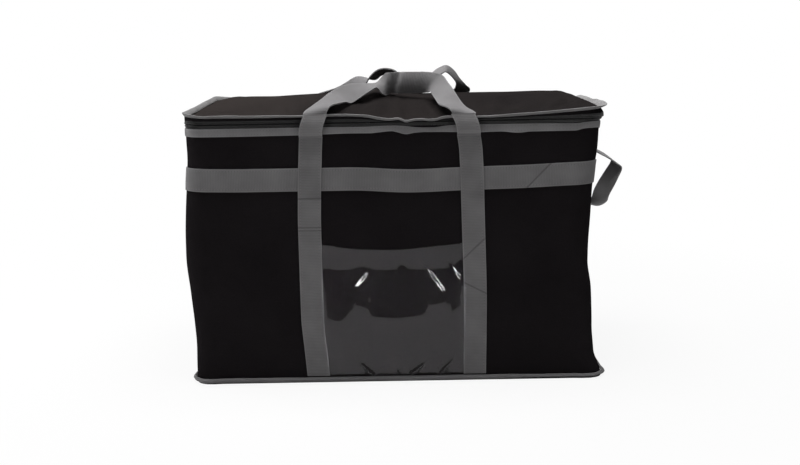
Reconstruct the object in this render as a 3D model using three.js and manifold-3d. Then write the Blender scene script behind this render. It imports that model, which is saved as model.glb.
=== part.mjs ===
// Insulated cooler bag: a fabric box with foam walls, a zip-round crowned lid,
// a clear front pocket, two carry handles and two end grab loops.
// Millimetres, +Z up, front towards -Y, origin at the centre of the base's underside.
import * as THREE from 'three';
import Module from 'manifold-3d';
import { mergeVertices } from 'three/addons/utils/BufferGeometryUtils.js';

const wasm = await Module();
wasm.setup();

// Fabric box
const bodyWidth = 572;
const bodyDepth = 318;
const rimHeight = 366;
const cornerRadius = 34;
const cornerSteps = 6;

// Layers of the wall, from the outside in
const fabric = 1.2;
const wallFoam = 8;
const foil = 0.8;
const gap = 0.3;

// Layers of the base, from the floor up
const baseBoard = 3;
const baseFoam = 8;

// Bindings that cover the seams
const baseBindingWidth = 6;
const baseBindingHeight = 9.2;
const baseBindingLift = 0.8;
const bindingRound = 2.6;
const topBindingHeight = 14;
const bindingTape = 1;
const lidBindingWidth = 6;
const lidBindingHeight = 9;

// Webbing
const webbingWidth = 32;
const webbing = 1.6;
const bandBelowRim = 56;
const bandThickness = 1.4;
const strapOffset = 113;
const strapRamp = 6;

// Clear front pocket
const vinyl = 0.7;
const pocketTop = 200;
const pocketBulge = 9;
const pocketFoot = 50;
const pocketFlatness = 0.6;
const pocketCrowding = 1.4;
const pocketColumns = 14;
const pocketRows = 8;

// Zip between the rim and the lid
const zipTape = 0.8;
const zipTapeHeight = 2.4;
const coilHeight = 1.6;
const coilThickness = 2.2;
const zipGap = 2;
const zipEndFromBack = 49;

// Lid
const lidBandHeight = 4;
const lidCrown = 27;
const crownEndPower = 2.5;
const crownFrontPower = 2;
const lidFoam = 8;
const lidFoil = 0.8;
const lidInset = 4;
const lidRings = 6;
const lidLongSteps = 10;
const lidShortSteps = 6;

// Carry handles
const handleThickness = 1.8;
const handleStandOff = 2;
const handleShoulder = 8;
const handleLift = 20;
const handleSteps = 56;

// End grab loops
const loopWidth = 25;
const loopThickness = 1.6;
const loopSteps = 30;
const loopFootAboveBand = 6;
const loopFootBelowBand = 38;
const loopReach = 66;
const loopHang = 42;
const loopHangRoom = 6;

// Zip sliders and their pulls, on the left end
const sliderLength = 11;
const sliderOffset = 12;
const sliderPlate = 1.4;
const sliderPlateHeight = 9.4;
const bridgeLength = 9;
const bridgeHeight = 2.4;
const bridgeBar = 1.2;
const bridgeRise = 2.2;
const pullThickness = 1.2;
const pullLength = 30;
const pullHeight = 7;
const pullWindowHeight = 3.6;
const pullWindowLength = 7;
const pullRail = 1.3;
const pullTipSteps = 8;

// Levels worked out from the sizes above
const boardFoot = fabric;
const foamFoot = boardFoot + baseBoard;
const linerFoot = foamFoot + baseFoam;
const baseBindingTop = baseBindingLift + baseBindingHeight;
const bandTop = rimHeight - bandBelowRim;
const bandFoot = bandTop - webbingWidth;
const topBindingFoot = rimHeight - topBindingHeight;
const zipFoot = rimHeight + gap;
const lowerZipTop = zipFoot + zipTapeHeight + coilHeight;
const upperZipFoot = lowerZipTop + zipGap;
const upperZipTop = upperZipFoot + coilHeight + zipTapeHeight;
const lidBandFoot = upperZipTop + gap;
const lidPanelFoot = lidBandFoot + lidBandHeight + gap;
const lidRim = lidPanelFoot + fabric;
const lidBindingFoot = (lidRim + lidPanelFoot - lidBindingHeight) / 2;
const lidBindingTop = lidBindingFoot + lidBindingHeight;
const bandOut = gap + bandThickness;
const topBindingOut = gap + bindingTape;
const lidBindingOut = gap + lidBindingWidth;
const legFoot = topBindingFoot + gap;
const legTop = lidBindingTop + gap;
const legFootOut = topBindingOut + gap;
const legTopOut = lidBindingOut + handleStandOff;

// Materials
const paint = (color, roughness, metalness = 0) => ({ color, roughness, metalness });
const blackFabric = paint(0x151315, 0.85);
const greyWebbing = paint(0x545253, 0.9);
const greyBinding = paint(0x6e6c6d, 0.85);
const clearVinyl = { ...paint(0xdfe3e6, 0.08), transparent: true, opacity: 0.3 };
const whiteFoam = paint(0xe8e6e0, 0.95);
const silverFoil = paint(0xc8cacd, 0.28, 0.8);
const blackBoard = paint(0x202022, 0.7);
const blackTape = paint(0x111112, 0.8);
const blackMetal = paint(0x2a2a2c, 0.35, 0.9);

const bag = new THREE.Group();

function addPiece(name, geometry, finish) {
  const mesh = new THREE.Mesh(geometry, new THREE.MeshStandardMaterial(finish));
  mesh.name = name;
  bag.add(mesh);
}

// Plan runs: points on the fabric's outer face, anticlockwise from above, each with its way out
function cornerArc(sideX, sideY, startAngle) {
  const centre = new THREE.Vector2(
    sideX * (bodyWidth / 2 - cornerRadius),
    sideY * (bodyDepth / 2 - cornerRadius),
  );
  const points = [];
  for (let i = 0; i <= cornerSteps; i += 1) {
    const angle = startAngle + (i / cornerSteps) * (Math.PI / 2);
    const out = new THREE.Vector2(Math.cos(angle), Math.sin(angle));
    points.push({ at: centre.clone().addScaledVector(out, cornerRadius), out });
  }
  return points;
}

function wallPoint(x, y, outX, outY) {
  return { at: new THREE.Vector2(x, y), out: new THREE.Vector2(outX, outY) };
}

const frontLeft = cornerArc(-1, -1, Math.PI);
const frontRight = cornerArc(1, -1, 1.5 * Math.PI);
const backRight = cornerArc(1, 1, 0);
const backLeft = cornerArc(-1, 1, Math.PI / 2);
const wholeRing = [...frontLeft, ...frontRight, ...backRight, ...backLeft];
const frontRun = [...frontLeft, ...frontRight];
const backRun = [...backRight, ...backLeft];
const rightRun = [frontRight.at(-1), backRight[0]];
const leftRun = [backLeft.at(-1), frontLeft[0]];
const leftZipEnd = wallPoint(-bodyWidth / 2, bodyDepth / 2 - zipEndFromBack, -1, 0);
const rightZipEnd = wallPoint(bodyWidth / 2, bodyDepth / 2 - zipEndFromBack, 1, 0);
const zipRun = [leftZipEnd, ...frontRun, rightZipEnd];
const hingeRun = [rightZipEnd, ...backRun, leftZipEnd];

// A run along the front (side -1) or the back (side 1), across a strap's width
function strapRun(side, centre, width) {
  const start = centre + (side * width) / 2;
  const end = centre - (side * width) / 2;
  const y = (side * bodyDepth) / 2;
  return [wallPoint(start, y, 0, side), wallPoint(end, y, 0, side)];
}

// A run along the left end, towards the front
function leftEndRun(middle, length) {
  const x = -bodyWidth / 2;
  return [wallPoint(x, middle + length / 2, -1, 0), wallPoint(x, middle - length / 2, -1, 0)];
}

function makeGeometry(positions, index) {
  const geometry = new THREE.BufferGeometry();
  geometry.setAttribute('position', new THREE.Float32BufferAttribute(positions, 3));
  geometry.setIndex(index);
  geometry.computeVertexNormals();
  return geometry;
}

// Skins a row of rings; every ring runs anticlockwise about the way of travel
function loft(rings, capFaces) {
  const count = rings[0].length;
  const closed = !capFaces;
  const positions = rings.flat().flatMap((point) => point.toArray());
  const index = [];
  const spans = closed ? rings.length : rings.length - 1;
  for (let i = 0; i < spans; i += 1) {
    const here = i * count;
    const next = ((i + 1) % rings.length) * count;
    for (let k = 0; k < count; k += 1) {
      const m = (k + 1) % count;
      index.push(here + k, here + m, next + m, here + k, next + m, next + k);
    }
  }
  if (!closed) {
    const last = (rings.length - 1) * count;
    for (const [a, b, c] of capFaces) {
      index.push(a, c, b, last + a, last + b, last + c);
    }
  }
  return makeGeometry(positions, index);
}

// A section is [out, height] points: up the inner side, then down the outer side
const sectionRing = ({ at, out }, section) => section.map(([offset, height]) => (
  new THREE.Vector3(at.x + out.x * offset, at.y + out.y * offset, height)
));

const sectionFaces = (section) => THREE.ShapeUtils.triangulateShape(
  section.map(([offset, height]) => new THREE.Vector2(-offset, height)),
  [],
);

function sweepOpen(run, section) {
  return loft(run.map((point) => sectionRing(point, section)), sectionFaces(section));
}

function sweepRing(section) {
  return loft(wholeRing.map((point) => sectionRing(point, section)));
}

const stripSection = (inner, outer, low, high) => [
  [inner, low],
  [inner, high],
  [outer, high],
  [outer, low],
];

// A folded binding tape, square against the wall and rounded outside
const bindingSection = (inner, width, low, height) => [
  [inner, low + bindingRound / 4],
  [inner, low + height - bindingRound / 4],
  [inner + width - bindingRound, low + height],
  [inner + width, low + height - bindingRound],
  [inner + width, low + bindingRound],
  [inner + width - bindingRound, low],
];

// A solid of plan loops: the first loop is capped upwards, the last downwards
function loopSolid(run, profile) {
  const count = run.length;
  const positions = [];
  for (const [offset, height] of profile) {
    for (const { at, out } of run) {
      positions.push(at.x + out.x * offset, at.y + out.y * offset, height);
    }
  }
  const index = [];
  for (let k = 0; k < profile.length - 1; k += 1) {
    for (let i = 0; i < count; i += 1) {
      const j = (i + 1) % count;
      const upper = k * count;
      const lower = upper + count;
      index.push(upper + i, lower + i, lower + j, upper + i, lower + j, upper + j);
    }
  }
  const foot = (profile.length - 1) * count;
  const plan = run.map(({ at, out }) => at.clone().addScaledVector(out, profile[0][0]));
  for (const [a, b, c] of THREE.ShapeUtils.triangulateShape(plan, [])) {
    index.push(a, b, c, foot + a, foot + c, foot + b);
  }
  return makeGeometry(positions, index);
}

const plate = (offset, low, high) => loopSolid(wholeRing, [[offset, high], [offset, low]]);

// Joins overlapping shapes into one body
function toManifold(geometry) {
  const merged = geometry.clone();
  merged.deleteAttribute('normal');
  merged.deleteAttribute('uv');
  const welded = mergeVertices(merged);
  return new wasm.Manifold(new wasm.Mesh({
    numProp: 3,
    vertProperties: new Float32Array(welded.attributes.position.array),
    triVerts: new Uint32Array(welded.index.array),
  }));
}

function join(first, second) {
  const mesh = toManifold(first).add(toManifold(second)).getMesh();
  return makeGeometry(Array.from(mesh.vertProperties), Array.from(mesh.triVerts));
}

// Outer fabric walls and base
const wallSection = stripSection(-fabric, 0, fabric, rimHeight);
addPiece('front_panel', sweepOpen(frontRun, wallSection), blackFabric);
addPiece('back_panel', sweepOpen(backRun, wallSection), blackFabric);
addPiece('left_end_panel', sweepOpen(leftRun, wallSection), blackFabric);
addPiece('right_end_panel', sweepOpen(rightRun, wallSection), blackFabric);
addPiece('base_panel', plate(0, 0, fabric), blackFabric);

// Stiffener, foam sheets and the foil liner with its rim flange
const inside = -fabric;
const linerOut = -(fabric + wallFoam);
const linerIn = linerOut - foil;
addPiece('base_board', plate(inside - gap, boardFoot, foamFoot), blackBoard);
addPiece('base_foam', plate(inside - gap, foamFoot, linerFoot), whiteFoam);
const foamSection = stripSection(linerOut, inside, linerFoot, rimHeight - foil);
const flatRun = (first, second) => [first.at(-1), second[0]];
addPiece('front_foam', sweepOpen(flatRun(frontLeft, frontRight), foamSection), whiteFoam);
addPiece('back_foam', sweepOpen(flatRun(backRight, backLeft), foamSection), whiteFoam);
addPiece('left_end_foam', sweepOpen(leftRun, foamSection), whiteFoam);
addPiece('right_end_foam', sweepOpen(rightRun, foamSection), whiteFoam);
addPiece('foil_liner', loopSolid(wholeRing, [
  [linerIn, linerFoot + foil],
  [linerIn, rimHeight],
  [inside - gap, rimHeight],
  [inside - gap, rimHeight - foil],
  [linerOut, rimHeight - foil],
  [linerOut, linerFoot],
]), silverFoil);

// Bindings round the base and the rim
const baseBinding = bindingSection(gap, baseBindingWidth, baseBindingLift, baseBindingHeight);
addPiece('base_binding', sweepRing(baseBinding), greyBinding);
const topBinding = stripSection(gap, topBindingOut, topBindingFoot, rimHeight);
addPiece('top_binding', sweepRing(topBinding), greyBinding);

// Webbing band, and the sewn straps that step over it
const bandSection = stripSection(gap, bandOut, bandFoot, bandTop);
addPiece('webbing_band', sweepRing(bandSection), greyWebbing);
const strapStep = bandOut + gap;
const strapInner = [
  [0, baseBindingTop + gap],
  [0, bandFoot - strapRamp],
  [strapStep, bandFoot - gap],
  [strapStep, bandTop + gap],
  [0, bandTop + strapRamp],
  [0, topBindingFoot - gap],
];
const strapOuter = strapInner.map(([offset, height]) => [offset + webbing, height]);
const strapSection = [...strapInner, ...strapOuter.reverse()];
for (const [face, side] of [['front', -1], ['back', 1]]) {
  for (const [hand, sideX] of [['left', -1], ['right', 1]]) {
    const run = strapRun(side, sideX * strapOffset, webbingWidth);
    addPiece(`${face}_${hand}_strap`, sweepOpen(run, strapSection), greyWebbing);
  }
}

// Clear pocket: sewn at the sides and the foot, bulging, open at the top
const pocketHalf = strapOffset - webbingWidth / 2 - gap;
const pocketLow = baseBindingTop + gap;
function pocketStandOff(across, height) {
  const rise = Math.min(1, (height - pocketLow) / pocketFoot);
  const foot = rise * rise * (3 - 2 * rise);
  return gap + pocketBulge * foot * Math.pow(1 - across * across, pocketFlatness);
}
const pocketRings = [];
for (let i = 0; i <= pocketColumns; i += 1) {
  const across = (2 * i) / pocketColumns - 1;
  const inner = [];
  for (let k = 0; k <= pocketRows; k += 1) {
    const up = Math.pow(k / pocketRows, pocketCrowding);
    const height = THREE.MathUtils.lerp(pocketLow, pocketTop, up);
    inner.push([pocketStandOff(across, height), height]);
  }
  const outer = inner.map(([offset, height]) => [offset + vinyl, height]).reverse();
  const point = wallPoint(across * pocketHalf, -bodyDepth / 2, 0, -1);
  pocketRings.push(sectionRing(point, [...inner, ...outer]));
}
const pocketEdge = Array.from({ length: pocketRows + 1 }, (_, k) => [0, k]);
const pocketEdgeBack = pocketEdge.map(([offset, height]) => [offset + 1, height]).reverse();
const pocketCaps = sectionFaces([...pocketEdge, ...pocketEdgeBack]);
addPiece('clear_pocket', loft(pocketRings, pocketCaps), clearVinyl);

// Zip halves: a tape that carries a coil along its free edge
const tapeMiddle = -fabric / 2;
const tapeSide = zipTape / 2;
const coilSide = coilThickness / 2;
addPiece('zip_tape_lower', sweepOpen(zipRun, [
  [tapeMiddle - tapeSide, zipFoot],
  [tapeMiddle - tapeSide, zipFoot + zipTapeHeight],
  [tapeMiddle - coilSide, zipFoot + zipTapeHeight],
  [tapeMiddle - coilSide, lowerZipTop],
  [tapeMiddle + coilSide, lowerZipTop],
  [tapeMiddle + coilSide, zipFoot + zipTapeHeight],
  [tapeMiddle + tapeSide, zipFoot + zipTapeHeight],
  [tapeMiddle + tapeSide, zipFoot],
]), blackTape);
addPiece('zip_tape_upper', sweepOpen(zipRun, [
  [tapeMiddle - coilSide, upperZipFoot],
  [tapeMiddle - coilSide, upperZipFoot + coilHeight],
  [tapeMiddle - tapeSide, upperZipFoot + coilHeight],
  [tapeMiddle - tapeSide, upperZipTop],
  [tapeMiddle + tapeSide, upperZipTop],
  [tapeMiddle + tapeSide, upperZipFoot + coilHeight],
  [tapeMiddle + coilSide, upperZipFoot + coilHeight],
  [tapeMiddle + coilSide, upperZipFoot],
]), blackTape);

// Lid edge: hinge strip at the back, band all round, folded binding outside it
const hingeSection = stripSection(
  tapeMiddle - tapeSide,
  tapeMiddle + tapeSide,
  zipFoot,
  upperZipTop,
);
addPiece('lid_hinge_strip', sweepOpen(hingeRun, hingeSection), blackFabric);
const lidBandTop = lidBandFoot + lidBandHeight;
const lidBandSection = stripSection(-fabric, 0, lidBandFoot, lidBandTop);
addPiece('lid_band', sweepRing(lidBandSection), blackFabric);
const lidBinding = bindingSection(gap, lidBindingWidth, lidBindingFoot, lidBindingHeight);
addPiece('lid_binding', sweepRing(lidBinding), greyBinding);

// Crown of the lid above its rim, zero at the edges
function crown(x, y) {
  const alongX = Math.min(1, Math.abs(x) / (bodyWidth / 2));
  const alongY = Math.min(1, Math.abs(y) / (bodyDepth / 2));
  const ends = 1 - Math.pow(alongX, crownEndPower);
  const fronts = 1 - Math.pow(alongY, crownFrontPower);
  return lidCrown * ends * fronts;
}

// The lid's plan, with extra points along its straight sides
function splitSide(from, to, steps) {
  const points = [];
  for (let i = 1; i < steps; i += 1) {
    points.push({ at: from.at.clone().lerp(to.at, i / steps), out: from.out.clone() });
  }
  return points;
}
const lidRun = [
  ...frontLeft,
  ...splitSide(frontLeft.at(-1), frontRight[0], lidLongSteps),
  ...frontRight,
  ...splitSide(frontRight.at(-1), backRight[0], lidShortSteps),
  ...backRight,
  ...splitSide(backRight.at(-1), backLeft[0], lidLongSteps),
  ...backLeft,
  ...splitSide(backLeft.at(-1), frontLeft[0], lidShortSteps),
];

// A crowned sheet, its rings drawn in towards the middle of the lid
function crownedSheet(offset, low, high) {
  const count = lidRun.length;
  const plan = lidRun.map(({ at, out }) => at.clone().addScaledVector(out, offset));
  const positions = [];
  const index = [];
  const layer = lidRings * count + 1;
  for (const level of [high, low]) {
    for (let ring = lidRings; ring > 0; ring -= 1) {
      for (const point of plan) {
        const x = (point.x * ring) / lidRings;
        const y = (point.y * ring) / lidRings;
        positions.push(x, y, level + crown(x, y));
      }
    }
    positions.push(0, 0, level + crown(0, 0));
  }
  for (let i = 0; i < count; i += 1) {
    const j = (i + 1) % count;
    for (let ring = 0; ring < lidRings - 1; ring += 1) {
      const outer = ring * count;
      const inner = outer + count;
      index.push(outer + i, outer + j, inner + j, outer + i, inner + j, inner + i);
      const below = layer + outer;
      const belowIn = layer + inner;
      index.push(below + i, belowIn + j, below + j, below + i, belowIn + i, belowIn + j);
    }
    const last = (lidRings - 1) * count;
    const middle = lidRings * count;
    index.push(last + i, last + j, middle);
    index.push(layer + last + j, layer + last + i, layer + middle);
    index.push(i, layer + i, layer + j, i, layer + j, j);
  }
  return makeGeometry(positions, index);
}

const lidFoamTop = lidPanelFoot - gap;
const lidFoamFoot = lidFoamTop - lidFoam;
addPiece('lid_panel', crownedSheet(0, lidPanelFoot, lidRim), blackFabric);
addPiece('lid_foam', crownedSheet(-lidInset, lidFoamFoot, lidFoamTop), whiteFoam);
addPiece('lid_foil', crownedSheet(-lidInset, lidFoamFoot - gap - lidFoil, lidFoamFoot - gap), silverFoil);

// Flat webbing along a route; sides are the way the webbing's width points at each route point
function ribbon(route, sides, width, thickness, steps) {
  const path = new THREE.CatmullRomCurve3(route, false, 'catmullrom');
  const turning = new THREE.CatmullRomCurve3(sides, false, 'catmullrom');
  const rings = [];
  for (let i = 0; i <= steps; i += 1) {
    const t = i / steps;
    const centre = path.getPoint(t);
    const along = path.getTangent(t);
    const side = turning.getPoint(t);
    side.addScaledVector(along, -side.dot(along)).setLength(width / 2);
    const face = along.clone().cross(side).setLength(thickness / 2);
    rings.push([
      centre.clone().add(side).add(face),
      centre.clone().sub(side).add(face),
      centre.clone().sub(side).sub(face),
      centre.clone().add(side).sub(face),
    ]);
  }
  return loft(rings, [[0, 1, 2], [0, 2, 3]]);
}

const way = (x, y, z) => new THREE.Vector3(x, y, z);

// A carry handle: two leg ends that rise past the lid's binding, and the loop that lies over the lid.
// Loop points are the side they belong to, the shares of the way in from that strap and in from
// the wall to the middle of the lid, the share of the lift, and the way the width points.
function addHandle(face, side, loopPoints) {
  const legSection = [
    [legFootOut, legFoot],
    [legTopOut, legTop],
    [legTopOut + handleThickness, legTop],
    [legFootOut + handleThickness, legFoot],
  ];
  for (const [hand, sideX] of [['left', -1], ['right', 1]]) {
    const run = strapRun(side, sideX * strapOffset, webbingWidth);
    addPiece(`${face}_handle_${hand}_end`, sweepOpen(run, legSection), greyWebbing);
  }
  const foot = legTopOut + handleThickness / 2;
  const legAt = (sideX, height) => way(sideX * strapOffset, side * (bodyDepth / 2 + foot), height);
  const legFrom = legTop + gap;
  const legTo = legFrom + handleShoulder;
  const route = loopPoints.map(([sideX, fromStrap, fromWall, lift]) => {
    const x = sideX * strapOffset * (1 - fromStrap);
    const y = (side * bodyDepth * (1 - fromWall)) / 2;
    return way(x, y, lidRim + crown(x, y) + handleLift * lift);
  });
  const sides = loopPoints.map((point) => point[4]);
  const geometry = ribbon(
    [legAt(-1, legFrom), legAt(-1, legTo), ...route, legAt(1, legTo), legAt(1, legFrom)],
    [way(-side, 0, 0), way(-side, 0, 0), ...sides, way(side, 0, 0), way(side, 0, 0)],
    webbingWidth,
    handleThickness,
    handleSteps,
  );
  addPiece(`${face}_handle_loop`, geometry, greyWebbing);
}

// The front loop's legs lean back and its grip stands on edge, facing the front
addHandle('front', -1, [
  [-1, 0.02, 0.06, 1, way(0.99, -0.1, 0)],
  [-1, 0.14, 0.22, 0.95, way(0.9, -0.4, 0)],
  [-1, 0.5, 0.46, 0.65, way(0.75, -0.65, -0.1)],
  [-1, 0.86, 0.62, 0.8, way(0.3, -0.75, -0.6)],
  [1, 0.88, 0.69, 0.95, way(0, -0.15, -1)],
  [1, 0.62, 0.69, 0.95, way(-0.05, -0.15, -1)],
  [1, 0.39, 0.62, 0.9, way(-0.5, -0.5, -0.7)],
  [1, 0.27, 0.44, 0.7, way(-0.9, -0.4, -0.1)],
  [1, 0.1, 0.17, 0.9, way(-0.98, -0.2, 0)],
  [1, 0, 0.03, 1, way(-1, -0.05, 0)],
]);

// The back loop leans forward and arches up over its grip
addHandle('back', 1, [
  [-1, 0, 0.04, 1, way(-1, -0.05, 0)],
  [-1, 0.16, 0.33, 0.75, way(-0.92, -0.4, 0)],
  [-1, 0.41, 0.7, 0.75, way(-0.7, -0.7, 0)],
  [-1, 0.64, 0.89, 1.2, way(-0.35, -0.85, -0.3)],
  [-1, 0.85, 0.97, 1.5, way(0, -0.8, -0.6)],
  [1, 0.92, 0.99, 1.35, way(0, -0.8, -0.6)],
  [1, 0.67, 0.96, 1.25, way(0, -0.9, -0.4)],
  [1, 0.44, 0.93, 1.5, way(0.2, -0.95, -0.2)],
  [1, 0.25, 0.86, 1.8, way(0.6, -0.8, 0)],
  [1, 0.08, 0.65, 1.3, way(0.9, -0.4, 0)],
  [1, -0.02, 0.36, 0.8, way(0.98, -0.15, 0)],
  [1, 0, 0.04, 1, way(1, 0, 0)],
]);

// An end grab loop: its upper foot is sewn above the band and its lower foot below it.
// Points are the shares of its reach and of its drop, and how far the width turns outwards.
const loopTopFoot = bandTop + loopFootAboveBand;
const loopLowFoot = bandFoot - loopFootBelowBand;
const loopSeat = gap + loopThickness / 2;
const hangOut = bandOut + loopThickness + loopHangRoom;
const hangFold = loopLowFoot - loopHang;
function addEndLoop(name, sideX, reach, lowest, points) {
  const route = [];
  const sides = [];
  for (const [outShare, dropShare, turn] of points) {
    const out = THREE.MathUtils.lerp(loopSeat, reach, outShare);
    const height = THREE.MathUtils.lerp(loopTopFoot, lowest, dropShare);
    route.push(way(sideX * (bodyWidth / 2 + out), 0, height));
    sides.push(way(-turn * sideX, sideX * (1 - turn), 0));
  }
  addPiece(name, ribbon(route, sides, loopWidth, loopThickness, loopSteps), greyWebbing);
}

// The right loop stands out from the wall
addEndLoop('right_end_handle', 1, loopReach, loopLowFoot, [
  [0, 0.05, 0],
  [0.06, -0.03, 0],
  [0.41, 0, 0.1],
  [0.78, 0.18, 0.25],
  [1, 0.36, 0.45],
  [0.92, 0.59, 0.65],
  [0.71, 0.82, 0.65],
  [0.44, 1.04, 0.4],
  [0.14, 1.08, 0.1],
  [0, 1, 0],
]);

// The left loop hangs flat over the band and folds back up to its lower foot
addEndLoop('left_end_handle', -1, hangOut, hangFold, [
  [0, 0.03, 0],
  [0.43, -0.03, 0],
  [0.88, 0.03, 0],
  [1, 0.19, 0],
  [1, 0.64, 0],
  [0.76, 0.9, 0],
  [0.55, 1, 0],
  [0.24, 0.92, 0],
  [0.06, 0.8, 0],
  [0, 0.68, 0],
]);

// Zip sliders: two plates joined by a web in the zip's gap, with a bridge for the pull
const zipMiddle = lowerZipTop + zipGap / 2;
const plateLow = zipMiddle - sliderPlateHeight / 2;
const plateHigh = zipMiddle + sliderPlateHeight / 2;
const webHalf = zipGap / 2 - gap;
const outerPlateIn = tapeMiddle + coilSide + gap;
const outerPlateOut = outerPlateIn + sliderPlate;
const innerPlateOut = tapeMiddle - coilSide - gap;
const innerPlateIn = innerPlateOut - sliderPlate;
const sliderSection = [
  [innerPlateIn, plateLow],
  [innerPlateIn, plateHigh],
  [innerPlateOut, plateHigh],
  [innerPlateOut, zipMiddle + webHalf],
  [outerPlateIn, zipMiddle + webHalf],
  [outerPlateIn, plateHigh],
  [outerPlateOut, plateHigh],
  [outerPlateOut, plateLow],
  [outerPlateIn, plateLow],
  [outerPlateIn, zipMiddle - webHalf],
  [innerPlateOut, zipMiddle - webHalf],
  [innerPlateOut, plateLow],
];
const bridgeSink = sliderPlate / 2;
const bridgeIn = outerPlateOut + bridgeRise;

// A bridge: a staple of [out, along] points on the outer plate
function bridgeGeometry(middle) {
  const half = bridgeLength / 2;
  const foot = outerPlateOut - bridgeSink;
  const outline = [
    [foot, -half],
    [bridgeIn + bridgeBar, -half],
    [bridgeIn + bridgeBar, half],
    [foot, half],
    [foot, half - bridgeBar],
    [bridgeIn, half - bridgeBar],
    [bridgeIn, -half + bridgeBar],
    [foot, -half + bridgeBar],
  ];
  const shape = new THREE.Shape(outline.map(([out, along]) => new THREE.Vector2(out, along)));
  const geometry = new THREE.ExtrudeGeometry(shape, { depth: bridgeHeight, bevelEnabled: false });
  geometry.rotateZ(Math.PI);
  geometry.translate(-bodyWidth / 2, middle, zipMiddle - bridgeHeight / 2);
  return geometry;
}

// A pull: a plate with a window whose end rail sits under the bridge
function pullGeometry(middle, heading) {
  const outline = new THREE.Shape();
  const half = pullHeight / 2;
  const tip = pullLength - half;
  outline.moveTo(-pullRail / 2, -half);
  outline.lineTo(tip, -half);
  outline.absarc(tip, 0, half, -Math.PI / 2, Math.PI / 2, false);
  outline.lineTo(-pullRail / 2, half);
  outline.closePath();
  const windowStart = pullRail / 2;
  const windowEnd = windowStart + pullWindowLength;
  const windowHalf = pullWindowHeight / 2;
  outline.holes = [new THREE.Path([
    new THREE.Vector2(windowStart, -windowHalf),
    new THREE.Vector2(windowEnd, -windowHalf),
    new THREE.Vector2(windowEnd, windowHalf),
    new THREE.Vector2(windowStart, windowHalf),
  ])];
  const geometry = new THREE.ExtrudeGeometry(outline, {
    depth: pullThickness,
    bevelEnabled: false,
    curveSegments: pullTipSteps,
  });
  geometry.translate(0, 0, -pullThickness / 2);
  geometry.rotateX(Math.PI / 2);
  geometry.rotateZ((heading * Math.PI) / 2);
  const out = outerPlateOut + gap + pullThickness / 2;
  geometry.translate(-bodyWidth / 2 - out, middle, zipMiddle);
  return geometry;
}

for (const [end, heading] of [['front', -1], ['rear', 1]]) {
  const middle = heading * sliderOffset;
  const block = sweepOpen(leftEndRun(middle, sliderLength), sliderSection);
  addPiece(`${end}_zip_slider`, join(block, bridgeGeometry(middle)), blackMetal);
  addPiece(`${end}_zip_pull`, pullGeometry(middle, heading), blackMetal);
}

export default bag;
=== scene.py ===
# %% [markdown]
# # A soft cooler bag
# This lesson dresses a CAD model of a cooler bag: black woven cloth over foam, grey
# webbing, a clear pocket, a zipped lid and carry handles. The CAD solids stay where they are and
# give every piece its place. The cloth, webbing and film that hide them are made here.

# %% Load the imported model
from math import copysign, cos, exp, hypot, pi, radians, sin

import bpy
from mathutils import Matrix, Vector, noise


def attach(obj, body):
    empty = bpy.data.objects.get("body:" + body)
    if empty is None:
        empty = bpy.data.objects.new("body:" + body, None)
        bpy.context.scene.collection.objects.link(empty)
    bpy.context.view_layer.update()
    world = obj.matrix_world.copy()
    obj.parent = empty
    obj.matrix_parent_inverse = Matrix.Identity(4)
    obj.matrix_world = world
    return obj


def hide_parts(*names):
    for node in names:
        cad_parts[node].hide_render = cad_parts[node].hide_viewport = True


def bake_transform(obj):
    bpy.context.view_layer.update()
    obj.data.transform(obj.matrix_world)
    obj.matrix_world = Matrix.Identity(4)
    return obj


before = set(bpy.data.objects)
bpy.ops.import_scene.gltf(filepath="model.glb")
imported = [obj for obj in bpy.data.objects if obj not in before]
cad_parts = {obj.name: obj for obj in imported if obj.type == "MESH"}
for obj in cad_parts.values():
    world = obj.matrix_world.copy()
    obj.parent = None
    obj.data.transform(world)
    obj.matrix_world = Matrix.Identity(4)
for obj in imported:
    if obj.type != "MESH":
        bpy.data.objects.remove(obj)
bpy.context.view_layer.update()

# %% [markdown]
# ## Camera
# The photograph was taken from just above the lid, straight on, with the camera turned about one
# degree on its own axis, so the bag climbs to the right. A camera is added at the measured place,
# then pitched, turned and rolled.

# %% Camera
def deselect():
    """Leave nothing selected, so an operator acts on the new piece alone."""
    bpy.ops.object.select_all(action="DESELECT")


CAMERA_PLACE = (0.0159, -1.5059, 0.4758)
PITCH, TURN, ROLL = radians(79.14), radians(0.19), radians(-1.05)
SENSOR, PHOTO_WIDE, FOCAL_PIXELS = 36, 800, 982

deselect()
bpy.ops.object.camera_add(location=CAMERA_PLACE)
camera = bpy.context.object
camera.rotation_euler = (PITCH, 0, TURN)
camera.rotation_euler.rotate_axis("Z", ROLL)
camera.data.sensor_width = SENSOR
camera.data.lens = SENSOR * FOCAL_PIXELS / PHOTO_WIDE
bpy.context.scene.camera = camera
bpy.context.scene.view_settings.view_transform = "Standard"
print("lens", round(camera.data.lens, 1), "mm")

# %% [markdown]
# ## Shader sums
# A finish is a sum of patterns. Wrapping a socket in a small class lets those sums be written as
# plain Python, and every sign adds one Math node. Any other node comes from the one method `node`.

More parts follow.
